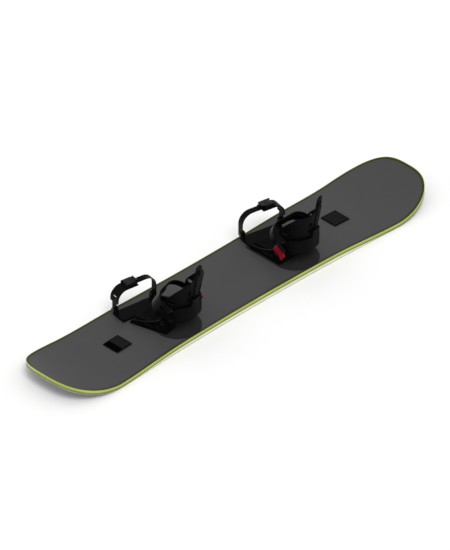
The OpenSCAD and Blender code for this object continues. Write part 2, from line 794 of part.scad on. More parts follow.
// The ankle buckle points back, so that its lever lies over the mount
module at_ankle_buckle() {
    at_ankle() translate([ankle_out, 0, ankle_pin + pin_back]) rotate([0, 90, 0]) children();
}
module ankle_buckle() {
    color([0.12, 0.12, 0.13]) at_ankle_buckle() buckle(38, [36, ladder_t + 1.6, 2.4]);
}
module ankle_lever() {
    color([0.7, 0.05, 0.15]) at_ankle_buckle() translate([pin_back, 0, cheek_h - pin_drop])
        lever(ankle_lever_l - 12, buckle_half - slide_gap, 5);
}

// Toe strap, closed over the toes: the padded strap outside, the ladder inside
module toe_wall(low, high, w) {
    arch_wall([toe_half, toe_rise, toe_bend - strap_t], lug_w / 2, low, high, w);
}
toe_strap_end = 4;
// How far the strap's slots are cut in past its inner face
toe_slot_in = 10 / 3;
module toe_strap(yaw) {
    color([0.05, 0.05, 0.06]) at_toe(yaw) difference() {
        intersection() {
            toe_wall(0, strap_t, toe_strap_w);
            union() {
                translate([-reach, -toe_strap_w, 26]) cube([reach + toe_strap_end, 2 * toe_strap_w, reach]);
                translate([-reach, -lug_w / 2, -lug_w]) cube([reach, lug_w, 60]);
            }
        }
        rod(-reach / 2, reach, 0, 0, bolt_r + run_fit);
        for (z = [34, 46])
            translate([-reach / 2, 0, z]) rotate([90, 0, 90])
                linear_extrude(reach / 2 - toe_half + toe_slot_in) slot(14, 2.5);
    }
}
module toe_ladder(yaw) {
    teeth = 12;
    color([0.1, 0.1, 0.1]) at_toe(yaw) difference() {
        union() {
            intersection() {
                toe_wall(strap_t, strap_t + ladder_t, ladder_w);
                translate([toe_pin_x, -reach / 2, -reach / 2]) cube(reach);
            }
            rod(toe_half, strap_t, 0, 0, lug_w / 2);
            rotate([90, 0, 0]) translate([toe_outer - toe_bend - 4, ladder_top, -ladder_w / 2 + 3])
                linear_extrude(ladder_w - 6) rotate(90) ladder_teeth(teeth);
        }
        rod(-reach / 2, reach, 0, 0, bolt_r + run_fit);
    }
}
module toe_buckle(yaw) {
    color([0.12, 0.12, 0.13]) at_toe(yaw) translate([toe_pin_x - pin_back, 0, toe_top])
        buckle(34, [0, 0, cheek_h - 7]);
}
module toe_lever(yaw) {
    color([0.07, 0.07, 0.08]) at_toe(yaw) translate([toe_pin_x, 0, toe_pin_z])
        lever(toe_lever_l - 8, buckle_half - slide_gap, 4);
}
module toe_bolts(yaw) {
    color("silver") at_toe(yaw) both_sides() {
        rod(lug_in - 2, toe_outer + ladder_t - lug_in + 2, 0, 0, bolt_r);
        rod(lug_in - 2, 2, 0, 0, bolt_r + 2.5);
        rod(toe_outer + ladder_t + slide_gap, bolt_head_t, 0, 0, bolt_head_r);
        rod(toe_outer + ladder_t - 1, 2, 0, 0, bolt_r);
    }
}

topsheet();
top_laminate();
edge_band();
toe_sidewall();
heel_sidewall();
wood_core();
bottom_laminate();
base_sheet();
steel_edges();
inserts(-left_x, 1);  // left_inserts
inserts(right_x, -1);  // right_inserts
on_deck(-pad_x) stomp_pad();  // left_stomp_pad
on_deck(pad_x) stomp_pad();  // right_stomp_pad
at_left() base_pad(left_angle);  // left_base_pad
at_left() baseplate(left_toe_yaw);  // left_baseplate
at_left() mounting_disc(left_angle);  // left_mounting_disc
at_left() disc_screws(left_angle);  // left_disc_screws
at_left() footbed();  // left_footbed
at_left() heel_hoop();  // left_heel_hoop
at_left() hoop_screws();  // left_hoop_screws
at_left() highback();  // left_highback
at_left() highback_pad();  // left_highback_pad
at_left() pivot_bolts();  // left_pivot_bolts
at_left() lean_adjuster();  // left_lean_adjuster
at_left() ankle_strap();  // left_ankle_strap
at_left() ankle_pad();  // left_ankle_pad
at_left() ankle_ladder();  // left_ankle_ladder
at_left() ankle_link();  // left_ankle_link
at_left() ankle_buckle();  // left_ankle_buckle
at_left() ankle_lever();  // left_ankle_lever
at_left() ankle_bolts();  // left_ankle_bolts
at_left() toe_strap(left_toe_yaw);  // left_toe_strap
at_left() toe_ladder(left_toe_yaw);  // left_toe_ladder
at_left() toe_buckle(left_toe_yaw);  // left_toe_buckle
at_left() toe_lever(left_toe_yaw);  // left_toe_lever
at_left() toe_bolts(left_toe_yaw);  // left_toe_bolts
at_right() base_pad(-right_angle);  // right_base_pad
at_right() baseplate(right_toe_yaw);  // right_baseplate
at_right() mounting_disc(-right_angle);  // right_mounting_disc
at_right() disc_screws(-right_angle);  // right_disc_screws
at_right() footbed();  // right_footbed
at_right() heel_hoop();  // right_heel_hoop
at_right() hoop_screws();  // right_hoop_screws
at_right() highback();  // right_highback
at_right() highback_pad();  // right_highback_pad
at_right() pivot_bolts();  // right_pivot_bolts
at_right() lean_adjuster();  // right_lean_adjuster
at_right() ankle_strap();  // right_ankle_strap
at_right() ankle_pad();  // right_ankle_pad
at_right() ankle_ladder();  // right_ankle_ladder
at_right() ankle_link();  // right_ankle_link
at_right() ankle_buckle();  // right_ankle_buckle
at_right() ankle_lever();  // right_ankle_lever
at_right() ankle_bolts();  // right_ankle_bolts
at_right() toe_strap(right_toe_yaw);  // right_toe_strap
at_right() toe_ladder(right_toe_yaw);  // right_toe_ladder
at_right() toe_buckle(right_toe_yaw);  // right_toe_buckle
at_right() toe_lever(right_toe_yaw);  // right_toe_lever
at_right() toe_bolts(right_toe_yaw);  // right_toe_bolts
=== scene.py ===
"""Looks of a snowboard with two strap bindings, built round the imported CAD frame."""

import json
import logging
import math
from dataclasses import dataclass, field
from enum import Enum
from typing import Callable, Sequence, Union

import bmesh
import bpy
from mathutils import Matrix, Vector

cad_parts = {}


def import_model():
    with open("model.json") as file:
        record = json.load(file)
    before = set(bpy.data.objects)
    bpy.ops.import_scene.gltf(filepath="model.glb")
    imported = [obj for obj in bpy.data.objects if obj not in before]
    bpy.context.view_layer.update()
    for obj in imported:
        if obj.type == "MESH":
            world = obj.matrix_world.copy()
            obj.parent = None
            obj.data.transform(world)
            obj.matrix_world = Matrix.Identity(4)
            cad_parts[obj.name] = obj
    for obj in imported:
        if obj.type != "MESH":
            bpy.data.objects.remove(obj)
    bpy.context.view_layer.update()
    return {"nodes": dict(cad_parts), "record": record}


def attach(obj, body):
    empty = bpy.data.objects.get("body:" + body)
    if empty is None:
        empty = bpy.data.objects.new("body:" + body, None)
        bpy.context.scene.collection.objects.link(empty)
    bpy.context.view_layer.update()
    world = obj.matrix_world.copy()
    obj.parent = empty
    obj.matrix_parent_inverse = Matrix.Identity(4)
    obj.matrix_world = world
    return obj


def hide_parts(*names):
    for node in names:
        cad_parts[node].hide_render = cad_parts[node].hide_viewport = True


LOG = logging.getLogger("snowboard")
MM = 0.001

Colour = tuple[float, float, float]
Place = Callable[[float, float, float], Vector]
Number = Union["Value", float]


def srgb(red: int, green: int, blue: int) -> Colour:
    """Turns a colour as seen on a screen into the linear values that a shader takes.

    Args:
        red: Red from 0 to 255.
        green: Green from 0 to 255.
        blue: Blue from 0 to 255.

    Returns:
        The linear colour.
    """
    def linear(v: float) -> float:
        """One channel from 0 to 1, made linear."""
        return v / 12.92 if v <= 0.04045 else ((v + 0.055) / 1.055) ** 2.4

    return (linear(red / 255), linear(green / 255), linear(blue / 255))


class Value:
    """A shader socket that adds Math nodes where it is used in an expression."""

    def __init__(self, shader: "Shader", socket: bpy.types.NodeSocket) -> None:
        """Wraps a socket of the shader's tree."""
        self.shader = shader
        self.socket = socket

    def _math(self, operation: str, a: Number, b: Number) -> "Value":
        """Adds one Math node on two values."""
        node = self.shader.node("ShaderNodeMath", {"operation": operation}, {0: a, 1: b})
        return Value(self.shader, node.outputs[0])

    def __add__(self, other: Number) -> "Value":
        """self + other."""
        return self._math("ADD", self, other)

    def __radd__(self, other: Number) -> "Value":
        """other + self."""
        return self._math("ADD", other, self)

    def __mul__(self, other: Number) -> "Value":
        """self * other."""
        return self._math("MULTIPLY", self, other)

    def __rmul__(self, other: Number) -> "Value":
        """other * self."""
        return self._math("MULTIPLY", other, self)

    def sine(self) -> "Value":
        """The sine of self, in radians."""
        return self._math("SINE", self, 0.0)


class Shader:
    """A material's node tree, with its Principled shader and Object coordinates."""

    def __init__(self, name: str) -> None:
        """Makes an empty material with a Principled shader.

        Args:
            name: The material's name.
        """
        self.material = bpy.data.materials.new(name)
        self.material.use_nodes = True
        self.tree = self.material.node_tree
        self.tree.nodes.clear()
        self.out = self.node("ShaderNodeOutputMaterial", {}, {})
        self.surface = self.node("ShaderNodeBsdfPrincipled", {}, {})
        self.tree.links.new(self.surface.outputs["BSDF"], self.out.inputs["Surface"])
        self.place = self.node("ShaderNodeTexCoord", {}, {}).outputs["Object"]

    def node(self, kind: str, settings: dict, inputs: dict) -> bpy.types.Node:
        """Adds a node.

        Args:
            kind: The node's type.
            settings: Its properties, set before its inputs.
            inputs: Values, sockets or Values by input name or number.

        Returns:
            The new node.
        """
        node = self.tree.nodes.new(kind)
        for key, value in settings.items():
            setattr(node, key, value)
        for key, value in inputs.items():
            if isinstance(value, Value):
                self.tree.links.new(value.socket, node.inputs[key])
            elif isinstance(value, bpy.types.NodeSocket):
                self.tree.links.new(value, node.inputs[key])
            else:
                node.inputs[key].default_value = value
        return node

    def noise(self, scale: float, detail: float = 2.0, stretch: Sequence[float] = (1, 1, 1)) -> Value:
        """Noise on Object coordinates.

        Args:
            scale: Waves per metre.
            detail: Octaves.
            stretch: Scale along X, Y and Z.

        Returns:
            A value round a half.
        """
        mapped = self.node("ShaderNodeMapping", {}, {"Vector": self.place, "Scale": tuple(stretch)})
        node = self.node("ShaderNodeTexNoise", {}, {
            "Vector": mapped.outputs[0], "Scale": scale, "Detail": detail})
        return Value(self, node.outputs[0])

    def cells(self, scale: float, feature: str = "F1") -> Value:
        """Cells on Object coordinates.

        Args:
            scale: Cells per metre.
            feature: Which distance of the Voronoi pattern is taken.

        Returns:
            The distance, in cells.
        """
        node = self.node("ShaderNodeTexVoronoi", {"feature": feature},
                         {"Vector": self.place, "Scale": scale})
        return Value(self, node.outputs["Distance"])

    def axis(self, index: int) -> Value:
        """The X, Y or Z of the Object coordinates, in metres."""
        node = self.node("ShaderNodeSeparateXYZ", {}, {0: self.place})
        return Value(self, node.outputs[index])

    def spread(self, value: Value, low: float, high: float, to_low: float, to_high: float) -> Value:
        """Carries a value from one range to another and holds it there.

        Args:
            value: The value.
            low: Start of its own range.
            high: End of its own range.
            to_low: Start of the new range.
            to_high: End of the new range.

        Returns:
            The value in the new range.
        """
        node = self.node("ShaderNodeMapRange", {"clamp": True}, {
            "Value": value, "From Min": low, "From Max": high, "To Min": to_low, "To Max": to_high})
        return Value(self, node.outputs[0])

    def mix(self, factor: Number, a: object, b: object) -> bpy.types.NodeSocket:
        """Mixes two colours.

        Args:
            factor: 0 for the first colour and 1 for the second.
            a: The first, a colour or a socket.
            b: The second, a colour or a socket.

        Returns:
            The mixed colour's socket.
        """
        def full(c: object) -> object:
            """A colour of three numbers gets its alpha."""
            return (*c, 1.0) if isinstance(c, tuple) else c

        node = self.node("ShaderNodeMix", {"data_type": "RGBA"}, {0: factor, 6: full(a), 7: full(b)})
        return node.outputs[2]

    def bump(self, height: Value, distance: float, strength: float = 1.0) -> None:
        """Raises the surface.

        Args:
            height: The height over the surface.
            distance: How many metres a height of 1 stands for.
            strength: Share of the effect.
        """
        node = self.node("ShaderNodeBump", {}, {
            "Height": height, "Distance": distance, "Strength": strength})
        self.tree.links.new(node.outputs[0], self.surface.inputs["Normal"])

    def feed(self, name: str, value: object) -> None:
        """Links or sets one input of the Principled shader.

        Args:
            name: The input's name.
            value: A Value, a socket or a plain value.
        """
        socket = self.surface.inputs[name]
        if isinstance(value, Value):
            self.tree.links.new(value.socket, socket)
        elif isinstance(value, bpy.types.NodeSocket):
            self.tree.links.new(value, socket)
        else:
            socket.default_value = value


class Grain(Enum):
    """Surface structures of a finish, each with its repeats per metre and its depth in millimetres."""

    MOULDED = (600.0, 0.09)
    BRUSHED = (700.0, 0.03)
    WOVEN = (1000 / 1.6, 0.22)
    CELLULAR = (420.0, 0.4)
    GROUND = (1000 / 1.2, 0.06)
    GLOSSY = (900.0, 0.01)
    TIMBER = (420 / (2 * math.pi), 0.1)

    def __init__(self, per_metre: float, depth: float) -> None:
        """Keeps the two sizes under their names."""
        self.per_metre = per_metre
        self.depth = depth


@dataclass(frozen=True)
class Finish:
    """One finish: a colour with its variation, gloss and grain.

    Every finish has broad patches and a fine grain, which make its colour and gloss uneven.
    """

    name: str
    colour: Colour
    worn: Colour
    grain: Grain
    roughness: float
    metallic: float = 0.0
    specular: float = 0.3
    coat: float = 0.0
    scale: float = 1.0
    coat_roughness: float = 0.12
    patches_per_metre: float = 14.0
    grains_per_metre: float = 900.0
    patch_share: float = 0.7
    wear_from: float = 0.46
    wear_to: float = 0.72
    gloss_swing: float = 0.12

    def build(self) -> bpy.types.Material:
        """Makes the finish's material.

        Returns:
            The material, with nodes for colour, roughness and bump.
        """
        shader = Shader(self.name)
        shader.feed("Metallic", self.metallic)
        shader.feed("Specular IOR Level", self.specular)
        shader.feed("Coat Weight", self.coat)
        shader.feed("Coat Roughness", self.coat_roughness)
        patches = shader.noise(self.patches_per_metre * self.scale, 4.0)
        fine = shader.noise(self.grains_per_metre * self.scale, 2.0)
        both = patches * self.patch_share + fine * (1 - self.patch_share)
        share = shader.spread(both, self.wear_from, self.wear_to, 0.0, 1.0)
        shader.feed("Base Color", shader.mix(share, self.colour, self.worn))
        glossy = self.roughness * (1 - self.gloss_swing)
        dull = min(1.0, self.roughness * (1 + self.gloss_swing))
        shader.feed("Roughness", shader.spread(patches, 0.3, 0.7, glossy, dull))
        height, distance = self._relief(shader, fine)
        shader.bump(height, distance)
        return shader.material

    def _relief(self, shader: Shader, fine: Value) -> tuple[Value, float]:
        """Makes the grain's height over the surface.

        Args:
            shader: The finish's shader.
            fine: The fine grain that the colour uses too.

        Returns:
            The height, and how many metres a height of 1 stands for.
        """
        repeats, depth = self.grain.per_metre, self.grain.depth * MM
        turn = 2 * math.pi * repeats
        if self.grain is Grain.BRUSHED:
            along_x = (0.05, 1.0, 1.0)
            return shader.noise(repeats, 3.0, along_x), depth
        if self.grain is Grain.WOVEN:
            weave = (shader.axis(0) * turn).sine() * (shader.axis(2) * turn).sine()
            return weave + (shader.axis(1) * turn).sine(), depth
        if self.grain is Grain.CELLULAR:
            return shader.cells(repeats * self.scale), depth
        if self.grain is Grain.GROUND:
            waver = shader.noise(30, 1.0) * 3.0
            return (shader.axis(1) * turn + waver).sine(), depth
        if self.grain is Grain.GLOSSY:
            return fine, depth
        if self.grain is Grain.TIMBER:
            waver = shader.noise(20, 2.0, (0.1, 1, 1)) * 8.0
            return (shader.axis(1) * turn + waver).sine(), depth
        pits = 0.6
        return fine + shader.cells(repeats * self.scale) * pits, depth


FINISHES: dict[str, Finish] = {f.name: f for f in (
    Finish("deck", srgb(72, 72, 73), srgb(76, 76, 76), Grain.MOULDED, 0.5, specular=0.12, scale=0.5),
    Finish("laminate", srgb(196, 200, 176), srgb(180, 186, 160), Grain.WOVEN, 0.3),
    Finish("band", srgb(164, 174, 66), srgb(184, 192, 96), Grain.GLOSSY, 0.3, specular=0.25, coat=0.4),
    Finish("sidewall", srgb(222, 223, 198), srgb(210, 212, 184), Grain.GLOSSY, 0.34),
    Finish("core", srgb(196, 160, 112), srgb(166, 128, 84), Grain.TIMBER, 0.6),
    Finish("running_base", srgb(26, 26, 28), srgb(38, 38, 41), Grain.GROUND, 0.36, specular=0.4),
    Finish("edge_steel", srgb(172, 174, 178), srgb(140, 142, 146), Grain.BRUSHED, 0.32, metallic=1.0),
    Finish("hardware", srgb(62, 62, 65), srgb(44, 44, 46), Grain.BRUSHED, 0.38, metallic=1.0),
    Finish("grip_rubber", srgb(30, 30, 30), srgb(37, 37, 37), Grain.CELLULAR, 0.75, specular=0.04),
    # pad_rim also colours the left stomp pad's dark band of painted shade.
    Finish("pad_rim", srgb(4, 4, 4), srgb(8, 8, 8), Grain.MOULDED, 0.7, specular=0.0),
    Finish("disc_plastic", srgb(38, 38, 39), srgb(42, 42, 43), Grain.MOULDED, 0.6, specular=0.06),
    Finish("binding_plastic", srgb(8, 8, 9), srgb(13, 13, 14), Grain.MOULDED, 0.5, specular=0.03),
    Finish("foot_foam", srgb(18, 18, 19), srgb(25, 25, 26), Grain.CELLULAR, 0.85, specular=0.02),
    Finish("pad_foam", srgb(11, 11, 12), srgb(17, 17, 18), Grain.WOVEN, 0.9, specular=0.02),
    Finish("strap_plastic", srgb(9, 9, 10), srgb(15, 15, 16), Grain.MOULDED, 0.42, specular=0.05),
    Finish("buckle", srgb(14, 14, 15), srgb(26, 26, 28), Grain.MOULDED, 0.32, specular=0.2),
    Finish("red_lever", srgb(138, 6, 26), srgb(164, 14, 40), Grain.GLOSSY, 0.34, specular=0.15, coat=0.15),
    # A dark olive line of painted shade along the deck's rim, where the topsheet meets the band.
    Finish("deck_rim_painted_shade", srgb(56, 62, 12), srgb(62, 68, 18), Grain.GLOSSY, 0.5, specular=0.1),
    Finish("band_low_line", srgb(118, 122, 74), srgb(126, 130, 84), Grain.GLOSSY, 0.45, specular=0.1),
    Finish("thread", srgb(40, 40, 42), srgb(32, 32, 34), Grain.WOVEN, 0.85, specular=0.1),
)}


class Materials:
    """The materials by finish name, each made once when it is first asked for."""

    def __init__(self) -> None:
        """Starts with nothing made."""
        self._made: dict[str, bpy.types.Material] = {}

    def get(self, name: str) -> bpy.types.Material:
        """Finds a finish's material.

        Args:
            name: The finish's name.

        Returns:
            The material.
        """
        if name not in self._made:
            self._made[name] = FINISHES[name].build()
        return self._made[name]


def solid(name: str, verts: Sequence[Vector], faces: Sequence[Sequence[int]],
          smooth: bool = True) -> bpy.types.Object:
    """Makes a mesh object at the origin with its faces turned outwards.

    Args:
        name: The piece's name.
        verts: Its corners in the shared frame, in metres.
        faces: Corner numbers of each face.
        smooth: Whether the faces are shaded smooth.

    Returns:
        The new object.
    """
    mesh = bpy.data.meshes.new(name)
    mesh.from_pydata([tuple(v) for v in verts], [], [tuple(f) for f in faces])
    bm = bmesh.new()
    bm.from_mesh(mesh)
    bmesh.ops.remove_doubles(bm, verts=bm.verts, dist=1e-6)
    bmesh.ops.recalc_face_normals(bm, faces=bm.faces)
    for face in bm.faces:
        face.smooth = smooth
    bm.to_mesh(mesh)
    bm.free()
    obj = bpy.data.objects.new(name, mesh)
    bpy.context.scene.collection.objects.link(obj)
    return obj


def ribbon(name: str, path: Sequence[Vector], ups: Sequence[Vector], width: float,
           height: float) -> bpy.types.Object:
    """Sweeps an oblong along a closed path by Geometry Nodes and returns the plain mesh.

    Args:
        name: The piece's name.
        path: Points of the path's middle line in metres.
        ups: The direction that the section's height takes at each point.
        width: Size of the section across the path.
        height: Size of the section up.

    Returns:
        The swept object, with no modifier left.
    """
    mesh = bpy.data.meshes.new(name + "_path")
    count = len(path)
    mesh.from_pydata([tuple(p) for p in path], [(i, (i + 1) % count) for i in range(count)], [])
    stored = mesh.attributes.new("up", "FLOAT_VECTOR", "POINT")
    stored.data.foreach_set("vector", [c for up in ups for c in up])
    guide = bpy.data.objects.new(name + "_guide", mesh)
    bpy.context.scene.collection.objects.link(guide)
    tree = NodeTree(name + "_sweep")
    wide = tree.number("Width", width)
    high = tree.number("Height", height)
    line = tree.add("GeometryNodeMeshToCurve", {}, {0: tree.geometry})
    up = tree.add("GeometryNodeInputNamedAttribute", {"data_type": "FLOAT_VECTOR"}, {"Name": "up"})
    level = tree.add("GeometryNodeSetCurveNormal", {"mode": "FREE"}, {
        "Curve": line.outputs[0], "Normal": up.outputs[0]})
    section = tree.add("GeometryNodeCurvePrimitiveQuadrilateral", {"mode": "RECTANGLE"}, {
        "Width": high, "Height": wide})
    swept = tree.add("GeometryNodeCurveToMesh", {}, {
        "Curve": level.outputs[0], "Profile Curve": section.outputs[0]})
    tree.end(swept.outputs[0])
    return tree.apply(guide, name)


class NodeTree:
    """A Geometry Nodes tree that ends in Realize Instances and a plain mesh."""

    def __init__(self, name: str) -> None:
        """Makes a tree with one geometry input and output.

        Args:
            name: The tree's name.
        """
        self.tree = bpy.data.node_groups.new(name, "GeometryNodeTree")
        self.tree.interface.new_socket("Geometry", in_out="INPUT", socket_type="NodeSocketGeometry")
        self.tree.interface.new_socket("Geometry", in_out="OUTPUT", socket_type="NodeSocketGeometry")
        self.entry = self.tree.nodes.new("NodeGroupInput")
        self.exit = self.tree.nodes.new("NodeGroupOutput")
        self.geometry = self.entry.outputs[0]
        self.values: dict[str, float] = {}

    def number(self, name: str, value: float) -> bpy.types.NodeSocket:
        """Adds a named number to the tree's inputs.

        Args:
            name: The input's name.
            value: What it is set to.

        Returns:
            The socket that gives the number.
        """
        item = self.tree.interface.new_socket(name, in_out="INPUT", socket_type="NodeSocketFloat")
        self.values[item.identifier] = value
        return next(s for s in self.entry.outputs if s.identifier == item.identifier)

    def add(self, kind: str, settings: dict, inputs: dict) -> bpy.types.Node:
        """Adds a node.

        Args:
            kind: The node's type.
            settings: Its properties, set before its inputs.
            inputs: Values or sockets by input name or number.

        Returns:
            The new node.
        """
        node = self.tree.nodes.new(kind)
        for key, value in settings.items():
            setattr(node, key, value)
        for key, value in inputs.items():
            if isinstance(value, bpy.types.NodeSocket):
                self.tree.links.new(value, node.inputs[key])
            else:
                node.inputs[key].default_value = value
        return node

    def end(self, socket: bpy.types.NodeSocket) -> None:
        """Realizes the geometry and gives it its material slot.

        Args:
            socket: The geometry that the tree has made.
        """
        real = self.add("GeometryNodeRealizeInstances", {}, {0: socket})
        dressed = self.add("GeometryNodeSetMaterial", {}, {0: real.outputs[0]})
        self.tree.links.new(dressed.outputs[0], self.exit.inputs[0])

    def apply(self, obj: bpy.types.Object, name: str) -> bpy.types.Object:
        """Applies the tree and keeps its result as a plain mesh object.

        Args:
            obj: What the tree works on. It is removed.
            name: The new object's name.

        Returns:
            The new object.
        """
        modifier = obj.modifiers.new("build", "NODES")
        modifier.node_group = self.tree
        for identifier, value in self.values.items():
            modifier[identifier] = value
        graph = bpy.context.evaluated_depsgraph_get()
        mesh = bpy.data.meshes.new_from_object(obj.evaluated_get(graph))
        obj.modifiers.remove(modifier)
        bpy.data.objects.remove(obj)
        mesh.name = name
        made = bpy.data.objects.new(name, mesh)
        bpy.context.scene.collection.objects.link(made)
        return made


def finish_piece(piece: bpy.types.Object, body: str, finish: str,
                 materials: Materials) -> None:
    """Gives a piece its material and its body.

    Args:
        piece: The piece.
        body: The body that carries it.
        finish: The name of its finish.
        materials: The finishes' materials.
    """
    piece.data.materials.clear()
    piece.data.materials.append(materials.get(finish))
    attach(piece, body)
    LOG.info("piece %s", piece.name)


def scatter(name: str, places: Sequence[Vector], shape: tuple[float, float, float], turn: float,
            seed: int = 7) -> bpy.types.Object:
    """Puts a small rounded block at each place by Geometry Nodes.

    Args:
        name: The piece's name.
        places: Centres of the blocks in metres.
        shape: The block's length, width and height.
        turn: Angle of the blocks about Z, in radians.
        seed: Seed of the small change of size from block to block.

    Returns:
        All blocks as one plain mesh object.
    """
    mesh = bpy.data.meshes.new(name + "_points")
    mesh.from_pydata([tuple(p) for p in places], [], [])
    guide = bpy.data.objects.new(name + "_guide", mesh)
    bpy.context.scene.collection.objects.link(guide)
    tree = NodeTree(name + "_scatter")
    length = tree.number("Length", shape[0])
    width = tree.number("Width", shape[1])
    height = tree.number("Height", shape[2])
    size = tree.add("ShaderNodeCombineXYZ", {}, {0: length, 1: width, 2: height})
    block = tree.add("GeometryNodeMeshIcoSphere", {}, {"Radius": 0.5, "Subdivisions": 2})
    smallest, largest = 0.94, 1.06
    change = tree.add("FunctionNodeRandomValue", {"data_type": "FLOAT"}, {
        2: smallest, 3: largest, 8: seed})
    scaled = tree.add("ShaderNodeVectorMath", {"operation": "SCALE"}, {
        0: size.outputs[0], 3: change.outputs[1]})
    placed = tree.add("GeometryNodeInstanceOnPoints", {}, {
        "Points": tree.geometry, "Instance": block.outputs[0], "Rotation": (0.0, 0.0, turn),
        "Scale": scaled.outputs[0]})
    tree.end(placed.outputs[0])
    return tree.apply(guide, name)


@dataclass
class Studio:
    """Floor, lights and the camera at the photograph's angle."""

    azimuth: float = -45.0
    elevation: float = 35.264
    pixels_per_metre: float = 330.0
    lens: float = 1000.0
    sensor: float = 36.0
    frame_height: int = 550
    far: float = 200.0
    aim: Vector = field(default_factory=lambda: Vector((0.01165, 0.01978, 0.02647)))
    sky: float = 0.72
    sun: float = 1.1
    sun_width: float = 25.0
    sun_tilt: tuple[float, float] = (28.0, -18.0)
    floor_half: float = 60.0
    floor_drop: float = 0.4 * MM
    floor_white: float = 0.97
    floor_glow: float = 0.05

    def build(self) -> None:
        """Makes the camera, the lights, the world and the floor."""
        self._camera()
        self._light()
        self._floor()

    def _camera(self) -> None:
        """A long lens stands in for the photograph's parallel view."""
        a, e = math.radians(self.azimuth), math.radians(self.elevation)
        back = Vector((math.sin(a) * math.cos(e), -math.cos(a) * math.cos(e), math.sin(e)))
        data = bpy.data.cameras.new("camera")
        data.lens = self.lens
        data.sensor_width = self.sensor
        data.clip_end = self.far
        camera = bpy.data.objects.new("camera", data)
        bpy.context.scene.collection.objects.link(camera)
        distance = self.frame_height * self.lens / (self.sensor * self.pixels_per_metre)
        camera.location = self.aim + back * distance
        camera.rotation_euler = back.to_track_quat("Z", "Y").to_euler()
        bpy.context.scene.camera = camera

    def _light(self) -> None:
        """An even pale sky and one broad soft sun."""
        scene = bpy.context.scene
        scene.view_settings.view_transform = "Standard"
        world = bpy.data.worlds.new("sky")
        world.use_nodes = True
        background = world.node_tree.nodes["Background"]
        background.inputs[0].default_value = (1.0, 1.0, 1.0, 1.0)
        background.inputs[1].default_value = self.sky
        scene.world = world
        sun = bpy.data.lights.new("sun", "SUN")
        sun.energy = self.sun
        sun.angle = math.radians(self.sun_width)
        lamp = bpy.data.objects.new("sun", sun)
        lamp.rotation_euler = (math.radians(self.sun_tilt[0]), math.radians(self.sun_tilt[1]), 0.0)
        scene.collection.objects.link(lamp)

    def _floor(self) -> None:
        """A wide pale floor just under the running base."""
        half, drop = self.floor_half, -self.floor_drop
        floor = solid("floor", [Vector((-half, -half, drop)), Vector((half, -half, drop)),
                                Vector((half, half, drop)), Vector((-half, half, drop))], [(0, 1, 2, 3)])
        shader = Shader("floor_white")
        shader.feed("Roughness", 0.9)
        shader.feed("Specular IOR Level", 0.0)
        shader.feed("Base Color", (self.floor_white, self.floor_white, self.floor_white, 1.0))
        shader.feed("Emission Color", (1.0, 1.0, 1.0, 1.0))
        shader.feed("Emission Strength", self.floor_glow)
        floor.data.materials.append(shader.material)


